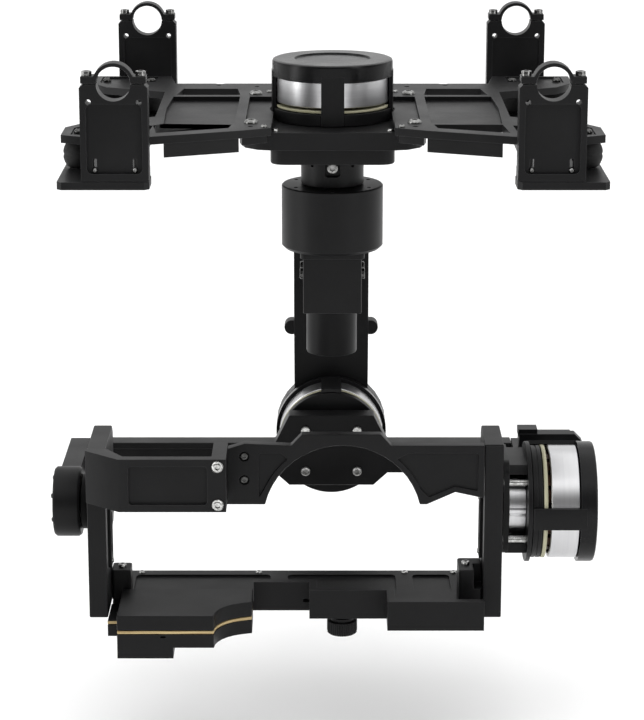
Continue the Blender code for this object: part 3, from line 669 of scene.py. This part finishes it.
def between(posts_at, half, top):
    """The spaces between posts of a half width that stand at some angles, up to a height."""
    near, far, turn_away = 0.0120, 0.0300, 20
    cuts = []
    for first, last in zip(posts_at, posts_at[1:] + (posts_at[0] + 360,)):
        start, end = (Matrix.Rotation(math.radians(angle), 2) for angle in (first, last))
        outline = [start @ Vector((near, half)), start @ Vector((far, half))]
        outline += [Vector(point) for point in arc(0, 0, far, first + turn_away, last - turn_away, 8)]
        outline += [end @ Vector((far, -half)), end @ Vector((near, -half))]
        cuts.append(slab([outline], "Z", -0.001, top))
    return cuts


def side_base(radius, top):
    """A roll or tilt motor's base, with a groove round it."""
    inner = radius - RIM
    rings = [(inner, 0), (radius, RIM), (radius, top * 0.45), (inner, top * 0.5), (inner, top * 0.56)]
    rings += [(radius, top * 0.61), (radius, top - RIM), (inner, top), (SHAFT_BORE, top), (SHAFT_BORE, 0)]
    return rings


def motor(prefix, axis, radius, base_radius, length, posts_at, reach):
    """A motor's finished pieces about an axis, with the same heights as its CAD nodes."""
    base_top, board_top, rotor_low, rotor_top, cap_top = length
    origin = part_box(prefix + "_motor_base")[0]["XYZ".index(axis)]
    place = {
        "X": Matrix.Translation((origin, 0, CROSSING.z)) @ Matrix.Rotation(math.pi / 2, 4, "Y"),
        "Y": Matrix.Translation((0, origin, CROSSING.z)) @ Matrix.Rotation(-math.pi / 2, 4, "X"),
        "Z": Matrix.Translation((0, 0, origin)),
    }[axis]
    ring = radius - 0.0015
    hub, race, web = 0.0085, 0.0080, 0.0016
    low, stator_low, stator_top = base_top + GAP, board_top + GAP, rotor_top - web - 0.0008

    def stand(part, rings, material, steps=96, closed=True):
        mesh = lathe(rings, steps, closed)
        mesh.transform(place)
        smooth(mesh)
        stand_for(prefix + "_motor_" + part, mesh, material)

    if prefix == "yaw":
        refine("yaw_motor_base", BLACK, bevel=0.0002)
    else:
        stand("base", side_base(base_radius, base_top), BLACK)

    edge = [(ring - 0.0001, low), (ring, low + 0.0002), (ring, board_top - 0.0002)]
    edge += [(ring - 0.0001, board_top), (0.0083, board_top), (0.0083, low)]
    stand("board", edge, CREAM[axis])

    def tooth(angle):
        core, teeth, width, depth = ring - 0.0030, 18, 0.74, 0.0030
        return core if (angle / (2 * math.pi) * teeth) % 1.0 < width else core - depth

    coils = [(tooth, stator_low), (tooth, stator_top), (hub, stator_top), (hub, stator_low)]
    stand("stator", coils, COPPER, 180)
    balls = [(race, stator_low), (race, stator_top), (SHAFT_BORE, stator_top), (SHAFT_BORE, stator_low)]
    stand("bearing", balls, STEEL)
    shell, under = ring - 0.0016, rotor_top - web
    bell = [(SHAFT, reach), (SHAFT, under), (shell, under), (shell, rotor_low), (ring - RIM, rotor_low)]
    bell += [(ring, rotor_low + RIM), (ring, rotor_top - RIM), (ring - RIM, rotor_top), (0.0004, rotor_top)]
    stand("rotor", bell, SILVER[axis], 128, closed=False)

    ceiling, post_inner = rotor_top + GAP, ring + GAP
    chamfer, dish, dish_depth = 0.0011, 0.0146, 0.0006
    cup = [(0.0004, ceiling), (post_inner, ceiling), (post_inner, 0), (radius, 0)]
    cup += [(radius, cap_top - chamfer), (radius - 0.3 * chamfer, cap_top - 0.3 * chamfer)]
    cup += [(radius - chamfer, cap_top), (dish, cap_top)]
    cup += [(dish - RIM, cap_top - dish_depth), (0.0004, cap_top - dish_depth)]
    housing = solid_from(lathe(cup, 128), between(posts_at, POST_HALF, ceiling), bevel=0.00025)
    housing.transform(place)
    stand_for(prefix + "_motor_housing", housing, HOUSING)
    root, skin = radius - 0.0010, radius + 0.00022
    leg = [(root, 0.0002), (skin, 0.0004), (skin, cap_top - 0.0042), (root, cap_top - 0.0036)]
    spaces = between(posts_at, POST_HALF + 0.0001, cap_top + 0.001)
    legs = solid_from(lathe(leg, 128, True), spaces, bevel=0.0001)
    legs.transform(place)
    extra(prefix + "_motor_legs", legs, BLACK, BODY_OF[prefix + "_motor_housing"])


def motors():
    """Each length gives the tops of the base and the board, the rotor's two ends and the cap's top."""
    side, base, threes = 0.0240, 0.0224, (-90, 30, 150)
    motor("yaw", "Z", 0.0231, 0.0228, (0.0044, 0.0056, 0.0066, 0.0163, 0.0228), (0, 90, 180, 270), -0.0145)
    motor("roll", "Y", side, base, (0.0040, 0.0060, 0.0072, 0.0185, 0.0237), threes, -0.0020)
    tilt_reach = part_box("cage_post_right")[1].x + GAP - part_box("tilt_motor_base")[0].x
    motor("tilt", "X", side, base, (0.0040, 0.0058, 0.0072, 0.0184, 0.0253), threes, tilt_reach)


# Arm between the yaw motor and the roll motor


def neck():
    """A tube with five small holes round its top, and a screw in a slot at the front."""
    low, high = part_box("neck")
    radius = high.x
    edge = radius - RIM
    mesh = lathe([(edge, low.z), (radius, low.z + RIM), (radius, high.z - RIM), (edge, high.z)], 96)
    slot_floor = -radius + 0.0024
    slot = rounded((-0.0030, 0.0030), (low.z + 0.0042, high.z + 0.001), 0.0014)
    cuts = [slab([slot], "Y", -0.0130, slot_floor)]
    for degrees in (-130, -50, 50, 130, 90):
        angle = math.radians(degrees)
        inward = Vector((-math.cos(angle), -math.sin(angle), 0))
        start = Vector((0, 0, high.z - 0.0024)) - inward * (radius + 0.001)
        cuts.append(rod(inward, start, 0.0007, 0.003))
    stand_for("neck", solid_from(mesh, cuts, bevel=0.0002), BLACK)
    spots = [(0, slot_floor, high.z - 0.0032)]
    screws("neck_screw", cap_screw, (0, -1, 0), spots, 0.0021, 0.0018, GREY_STEEL, "yaw_arm")


def slip_ring():
    """The drum under the neck, and the stack of rings inside it."""
    low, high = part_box("slip_ring_housing")
    radius, inner, foot = high.x, 0.0085, 0.0012
    rings = [(inner, high.z - 0.0040), (inner, low.z), (radius - foot, low.z), (radius, low.z + foot)]
    rings += [(radius, high.z - 0.0005), (radius - 0.0005, high.z)]
    spots = [(x, y, high.z - 0.0015) for x, y in circle_points(6, 30, 0.0162)]
    holes = [rod((0, 0, 1), spot, 0.0008, 0.003) for spot in spots]
    stand_for("slip_ring_housing", solid_from(lathe(rings, 128), holes, bevel=0.00015), BLACK)

    low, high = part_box("slip_ring")
    radius, groove, count = high.x, 0.0006, 6
    pitch = (high.z - low.z) / count
    rings = []
    for index in range(count):
        start = low.z + pitch * index
        end = start + pitch * 0.8
        rings += [(radius - groove, start), (radius, start + RIM)]
        rings += [(radius, end), (radius - groove, end + 0.0002)]
    mesh = lathe(rings, 64)
    smooth(mesh)
    stand_for("slip_ring", mesh, STEEL)


def arm():
    """The arm to the back with a pocket in each flank, a rim under the slip ring and four screws."""
    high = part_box("arm")[1]
    half, pocket_depth = high.x, 0.0012
    pocket = [(0.0200, 0.0830), (0.0440, 0.0735), (0.0900, 0.0735), (0.0900, 0.0770)]
    pocket += [(0.0480, 0.0905), (0.0220, 0.0945)]
    pocket = [(y, rel(z)) for y, z in pocket]
    layers = [sorted((side * (half - pocket_depth), side * (half + 0.001))) for side in (-1, 1)]
    cuts = [slab([pocket], "X", *layer) for layer in layers]
    refine("arm", BLACK, cuts, bevel=0.0005)
    rim = slab([rounded((-0.0124, 0.0124), (-0.0131, 0.0141), 0.0020)], "Z", high.z - 0.0022, high.z - 0.0001)
    extra("arm_rim", solid_from(rim, bevel=0.0003), BLACK, "yaw_arm")
    spots = [(side, y) for side in (-1, 1) for y in (-0.0050, 0.0070)]
    heads = [cap_screw((side, 0, 0), (side * half, y, rel(0.0945)), 0.0021, 0.0013) for side, y in spots]
    group("arm_screws", heads, DARK_STEEL, "yaw_arm")


def roll_plate():
    """The upright behind the roll motor, with screws into the arm, the motor and its own rim."""
    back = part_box("roll_plate")[1].y
    refine("roll_plate", BLACK, bevel=0.0005)
    spots = ((-0.0172, 0.0450), (0.0172, 0.0450), (-0.0080, 0.0840), (0.0080, 0.0840))
    heads = [cap_screw((0, 1, 0), (x, back, rel(z)), 0.0022, 0.0014) for x, z in spots]
    spots = circle_points(4, 45, 0.0150)
    heads += [button_screw((0, 1, 0), (x, back, rel(z)), 0.0020, 0.0011) for x, z in spots]
    group("roll_plate_screws", heads, STEEL, "yaw_arm")


# Yoke


def yoke_beam():
    """The beam across the back, with a long recess each side of its middle on both faces."""
    low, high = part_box("yoke_beam")
    depth, past = 0.0010, 0.001
    cuts = []
    for x in ((-0.0960, -0.0300), (0.0300, 0.0700)):
        outline = rounded(x, (rel(-0.0072), rel(0.0006)), 0.0015)
        cuts.append(slab([outline], "Y", low.y - past, low.y + depth))
        cuts.append(slab([outline], "Y", high.y - depth, high.y + past))
    refine("yoke_beam", BLACK, cuts, bevel=0.0005)
    spots = [(x, low.y, rel(z)) for x in (-0.0110, 0.0110) for z in (-0.0090, 0.0090)]
    screws("yoke_beam_screws", cap_screw, (0, -1, 0), spots, 0.0020, 0.0014, STEEL, "roll_yoke")


def yoke_arms():
    """The arm with the round eye at the left, and the bracket behind the tilt motor."""
    refine("yoke_arm_left", BLACK, bevel=0.0004)
    eye_face, ring_face = -0.1107, -0.1108
    eye = [button_screw((-1, 0, 0), (eye_face, 0, rel(0)), 0.0026, 0.0010)]
    spots = [(ring_face, y, rel(z)) for y, z in circle_points(6, 30, 0.0098)]
    eye += [button_screw((-1, 0, 0), spot, 0.0010, 0.0006) for spot in spots]
    group("eye_screws", eye, DARK_STEEL, "roll_yoke")
    refine("yoke_arm_right", BLACK, bevel=0.0004)
    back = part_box("yoke_arm_right")[1].y
    spots = [(x, back, rel(z)) for x in (-0.1076, 0.0810) for z in (-0.0060, 0.0000)]
    screws("yoke_end_screws", cap_screw, (0, 1, 0), spots, 0.0018, 0.0014, STEEL, "roll_yoke")


def tilt_collar():
    """The silver drum, with shallow slots along it."""
    low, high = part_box("tilt_collar")
    radius, bore, length, slot_half, slant = high.z - CROSSING.z, 0.0075, high.x - low.x, 1.1, 0.0004
    slots = (-143, -94, -83, -30, 30, 90, 150)

    def slotted(depth):
        def reach(angle):
            degrees = math.degrees(angle)
            nearest = min(abs((degrees - slot + 180) % 360 - 180) for slot in slots)
            return radius - (depth if nearest < slot_half else 0)
        return reach

    mouth, inside = slotted(0.0006), slotted(0.0005)
    rings = [(mouth, 0.0), (inside, slant), (inside, length - slant), (mouth, length)]
    rings += [(bore, length), (bore, 0)]
    mesh = lathe(rings, 180, True)
    mesh.transform(Matrix.Translation((low.x, 0, CROSSING.z)) @ Matrix.Rotation(math.pi / 2, 4, "Y"))
    smooth(mesh, math.radians(30))
    stand_for("tilt_collar", mesh, SILVER["X"])


def tilt_flange():
    """Two plates with four steel spacers between them."""
    refine("tilt_flange", BLACK, bevel=0.0004)
    outer_face, near, far = 0.0677, 0.0698, 0.0768
    spacers = []
    for y, z in ((-0.0125, 0.0118), (-0.0125, -0.0118), (0.0125, 0.0118), (0.0125, -0.0118)):
        spacers.append(rod((1, 0, 0), (near, y, rel(z)), 0.0014, far - near))
        spacers.append(button_screw((-1, 0, 0), (outer_face, y, rel(z)), 0.0013, 0.0006))
    group("flange_spacers", spacers, STEEL, "roll_yoke")


# Cage


def cable_cover(side, x, y, inward):
    """A grooved strip along the inner face of a post."""
    thick, groove_depth = 0.0012, 0.0006
    outline = rounded((y - 0.0040, y + 0.0040), (rel(-0.0200), rel(0.0070)), 0.0012)
    strip = slab([outline], "X", *sorted((x, x + inward * thick)))
    groove = rounded((y - 0.0022, y + 0.0022), (rel(-0.0150), rel(0.0020)), 0.0010)
    groove = slab([groove], "X", *sorted((x + inward * groove_depth, x + inward * 0.0030)))
    strip = solid_from(strip, [groove], bevel=0.0003)
    # The strip takes the darker painted-shade black.
    extra("cable_cover_" + side, strip, PAINTED_SHADE_BLACK, "tilt_cage")
    spots = [(x + inward * thick, y, rel(z)) for z in (-0.0178, 0.0048)]
    name = "cable_cover_screws_" + side
    screws(name, button_screw, (inward, 0, 0), spots, 0.0011, 0.0006, STEEL, "tilt_cage")


def tray(left, right):
    """The floor with its recesses, and a block with a screw in each corner, between the posts' faces."""
    floor_z = rel(-0.0373)
    slot_x, pocket_y, corner = (-0.0120, 0.0200), (-0.0020, 0.0170), 0.0020
    recesses = [(rounded(slot_x, (-0.0112, -0.0072), 0.0019), 0.0020)]
    for pocket_x in ((-0.0800, -0.0250), (-0.0180, 0.0260), (0.0330, 0.0480)):
        recesses.append((rounded(pocket_x, pocket_y, corner), 0.0008))
    recesses += [(rounded(slot_x, (-0.0185, -0.0127), 0.0028), 0.0006)]
    cuts = [slab([outline], "Z", floor_z - depth, floor_z + 0.001) for outline, depth in recesses]
    refine("tray", BLACK, cuts, bevel=0.0004)

    clear, right_top, left_top = 0.0001, rel(-0.0222), rel(-0.0245)
    outline = rounded((0.0500, right - clear), (-0.0200, -0.0050), 0.0012)
    corner = slab([outline], "Z", floor_z + clear, right_top)
    notch = block((0.0560, 0.0700), (-0.0250, -0.0120), (rel(-0.0300), rel(-0.0100)))
    corner = solid_from(corner, [notch], bevel=0.0005)
    extra("corner_block_right", corner, BLACK, "tilt_cage")
    outline = rounded((left + clear, -0.0800), (-0.0135, -0.0040), 0.0010)
    corner = solid_from(slab([outline], "Z", floor_z + clear, left_top), bevel=0.0005)
    extra("corner_block_left", corner, BLACK, "tilt_cage")
    heads = [cap_screw((0, 0, 1), (0.0530, -0.0125, right_top), 0.0016, 0.0012)]
    heads += [cap_screw((0, 0, 1), (-0.0836, -0.0088, left_top), 0.0015, 0.0012)]
    spots = [(x, 0.0195, floor_z) for x in (-0.0780, -0.0300, 0.0300, 0.0500)]
    heads += [button_screw((0, 0, 1), spot, 0.0013, 0.0008) for spot in spots]
    group("tray_screws", heads, STEEL, "tilt_cage")


def lens_plate():
    """The plate round the lens opening, with a sunk panel each side of it and two sunk screws."""
    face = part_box("lens_plate")[0].y
    lens_x, lens_z, lens_rim = 0.0040, rel(-0.0010), 0.0333
    top, corner_top, right, left = rel(0.0268), rel(0.0262), 0.0568, -0.0285
    corner = 0.0006
    panel_right = arc(lens_x, lens_z, lens_rim, 24, 50, 12) + [(0.0300, top), (right - corner, top)]
    panel_right += [(right, corner_top), (right, rel(0.0116)), (0.0478, rel(0.0134)), (0.0378, rel(0.0090))]
    panel_left = arc(lens_x, lens_z, lens_rim, 130, 156, 12) + [(left, rel(0.0090)), (left, corner_top)]
    panel_left += [(left + corner, top), (-0.0200, top)]
    past, panel_depth, bore_depth = 0.001, 0.0012, 0.0014
    cuts = [slab([panel], "Y", face - past, face + panel_depth) for panel in (panel_right, panel_left)]
    screw_x, screw_heights = -0.0343, (0.0160, 0.0255)
    cuts += [rod((0, 1, 0), (screw_x, face - past, rel(z)), 0.0019, past + bore_depth) for z in screw_heights]
    refine("lens_plate", BLACK, cuts, bevel=0.0004)
    spots = [(screw_x, face + bore_depth, rel(z)) for z in screw_heights]
    screws("lens_plate_screws", cap_screw, (0, -1, 0), spots, 0.0015, 0.0008, DARK_STEEL, "tilt_cage")


def grip_arm():
    """The strap over the hand grip, with a sunk panel and two pale screws."""
    low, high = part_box("grip_arm")
    margin, depth = 0.0029, 0.0013
    outline = rounded((-0.0777, -0.0477), (low.z + margin, high.z - margin), 0.0012)
    panel = slab([outline], "Y", low.y - 0.001, low.y + depth)
    refine("grip_arm", BLACK, [panel], bevel=0.0005)
    spots = [(-0.0437, low.y, rel(z)) for z in (0.0134, 0.0286)]
    screws("grip_arm_screws", button_screw, (0, -1, 0), spots, 0.0024, 0.0013, STEEL, "tilt_cage")


def electronics():
    """The lid, the board with its black ledge, and the box with two ports and two screws below."""
    refine("electronics_lid", BLACK, bevel=0.0004)
    refine("control_board", BOARD, bevel=0.00008)
    board_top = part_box("control_board")[1].z
    mask = block((-0.0877, -0.0821), (-0.0339, -0.0151), (board_top + 0.00002, board_top + 0.0002))
    # The mask takes the darker painted-shade black.
    extra("board_mask", solid_from(mask, bevel=0.00005), PAINTED_SHADE_BLACK, "tilt_cage")
    low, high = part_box("electronics_box")
    port = block((-0.0665, -0.0645), (low.y - 0.001, low.y + 0.0020), (high.z - 0.0014, high.z - 0.0006))
    long_port = block((-0.0800, -0.0700), (low.y + 0.0100, low.y + 0.0200), (low.z - 0.001, low.z + 0.0012))
    refine("electronics_box", BLACK, [port, long_port], bevel=0.0003)
    spots = [(x, -0.0400, low.z) for x in (-0.0805, -0.0640)]
    screws("electronics_screws", button_screw, (0, 0, -1), spots, 0.0013, 0.0008, STEEL, "tilt_cage")


def idle_bearing():
    """A stepped flange on the left post, and the pin that turns in the yoke's eye."""
    low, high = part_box("idle_bearing")
    flange = high.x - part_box("yoke_arm_left")[1].x - GAP
    radius, pin, pin_end = 0.0110, 0.0046, high.x - low.x
    rings = [(0.0085, 0.0), (0.0108, 0.0017), (radius, 0.0020), (radius, flange - RIM), (0.0107, flange)]
    rings += [(pin, flange), (pin, pin_end - 0.0004), (0.0042, pin_end)]
    mesh = lathe(rings, 96)
    mesh.transform(Matrix.Translation((high.x, 0, CROSSING.z)) @ Matrix.Rotation(-math.pi / 2, 4, "Y"))
    smooth(mesh)
    # The bearing takes the darker painted-shade black.
    stand_for("idle_bearing", mesh, PAINTED_SHADE_BLACK)


def cage():
    """Everything that the tilt motor turns, apart from the camera screw."""
    refine("cage_post_left", BLACK, bevel=0.0005)
    refine("cage_post_right", BLACK, bevel=0.0005)
    left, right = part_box("cage_post_left")[1].x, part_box("cage_post_right")[0].x
    cable_cover("left", left, -0.0200, 1)
    cable_cover("right", right, -0.0090, -1)
    tray(left, right)
    lens_plate()
    grip_arm()
    electronics()
    idle_bearing()


def thumbscrew():
    """A knurled head with a coin slot, and its stud."""
    low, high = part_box("camera_screw")
    x, y = (low.x + high.x) / 2, (low.y + high.y) / 2
    radius, stud, head_top = high.x - x, 0.0026, low.z + 0.0070
    ridges, ridge_depth, edge, slot_half, slot_depth = 40, 0.0004, 0.0007, 0.0007, 0.0013

    def knurled(angle):
        return radius - ridge_depth * (0.5 + 0.5 * math.cos(ridges * angle))

    collar = radius - 0.0012
    rings = [(collar, low.z), (radius - 0.0005, low.z + 0.4 * edge), (knurled, low.z + edge)]
    rings += [(knurled, head_top - 2.2 * edge), (radius - 0.0006, head_top - 1.8 * edge)]
    rings += [(collar, head_top - 1.5 * edge), (collar, head_top), (stud, head_top), (stud, high.z)]
    mesh = lathe(rings, 240)
    mesh.transform(Matrix.Translation((x, y, 0)))
    slot_y = (y - slot_half, y + slot_half)
    slot = block((x - 0.0100, x + 0.0100), slot_y, (low.z - 0.001, low.z + slot_depth))
    stand_for("camera_screw", solid_from(mesh, [slot], bevel=0), BLACK)


# Stage, light and camera


def camera():
    """A long lens a metre in front of the part, looking a little down at it."""
    lens = bpy.data.cameras.new("camera")
    lens.lens = 125
    lens.sensor_width = 36
    lens.clip_start = 0.01
    obj = bpy.data.objects.new("camera", lens)
    obj.location = (-0.0040, -0.9519, 0.1303)
    down = 14.9
    obj.rotation_euler = (math.radians(90 - down), 0, 0)
    bpy.context.scene.collection.objects.link(obj)
    bpy.context.scene.camera = obj


def area_light(name, location, target, size, power):
    """A softbox at a place, turned to a target."""
    light = bpy.data.lights.new(name, "AREA")
    light.shape = "RECTANGLE"
    light.size, light.size_y = size
    light.energy = power
    obj = bpy.data.objects.new(name, light)
    obj.matrix_world = toward(Vector(location) - Vector(target), location)
    bpy.context.scene.collection.objects.link(obj)


def sun(name, direction, strength, angle):
    """A far light from a direction, angle degrees wide."""
    light = bpy.data.lights.new(name, "SUN")
    light.energy = strength
    light.angle = math.radians(angle)
    obj = bpy.data.objects.new(name, light)
    obj.matrix_world = toward(direction, (0, 0, 1))
    bpy.context.scene.collection.objects.link(obj)


def world():
    """A white studio: bright overhead and behind the part, and dim in front of it."""
    made = bpy.data.worlds.new("studio")
    made.use_nodes = True
    bpy.context.scene.world = made
    tree = made.node_tree
    way = tree.nodes.new("ShaderNodeSeparateXYZ")
    tree.links.new(tree.nodes.new("ShaderNodeTexCoord").outputs["Generated"], way.inputs[0])

    def spread_of(output, low, high, dark, light):
        ranged = tree.nodes.new("ShaderNodeMapRange")
        ranged.interpolation_type = "SMOOTHSTEP"
        tree.links.new(way.outputs[output], ranged.inputs[0])
        for index, value in enumerate((low, high, dark, light)):
            ranged.inputs[index + 1].default_value = value
        return ranged.outputs[0]

    highest = tree.nodes.new("ShaderNodeMath")
    highest.operation = "MAXIMUM"
    tree.links.new(spread_of("Y", -0.45, 0.45, 0.08, 1.00), highest.inputs[0])
    tree.links.new(spread_of("Z", 0.30, 0.85, 0.00, 1.35), highest.inputs[1])
    background = tree.nodes["Background"]
    background.inputs["Color"].default_value = (1, 1, 1, 1)
    tree.links.new(highest.outputs[0], background.inputs["Strength"])


def floor():
    """A pale disc just below the lowest point that the part reaches in any pose."""
    made = Shader("floor_look", specular=0.1)
    made.colour(made.ramp(made.noise(3.0), (0.3, 0.90), (0.7, 0.92)))
    made.surface.inputs["Roughness"].default_value = 0.9
    made.surface.inputs["Emission Strength"].default_value = 0.10
    radius, thick, top = 30.0, 0.02, -0.2745
    obj = new_object("floor", lathe([(radius, -thick), (radius, 0.0)], 64), made.material)
    obj.location = (0, 0, top)


PART_MIDDLE = (0, 0, -0.1)

camera()
world()
floor()
sun("overhead_sun", (0.05, -0.05, 1), 0.6, 90)
area_light("left_softbox", (-0.9, -0.25, 0.15), PART_MIDDLE, (0.25, 0.9), 3.0)
area_light("right_softbox", (0.8, -0.75, 0.25), PART_MIDDLE, (0.3, 0.8), 2.5)
for where in CORNERS:
    clamp(where)
    dampers(where)
plates()
motors()
neck()
slip_ring()
arm()
roll_plate()
yoke_beam()
yoke_arms()
tilt_flange()
tilt_collar()
cage()
thumbscrew()
bpy.context.scene.view_settings.view_transform = "Standard"
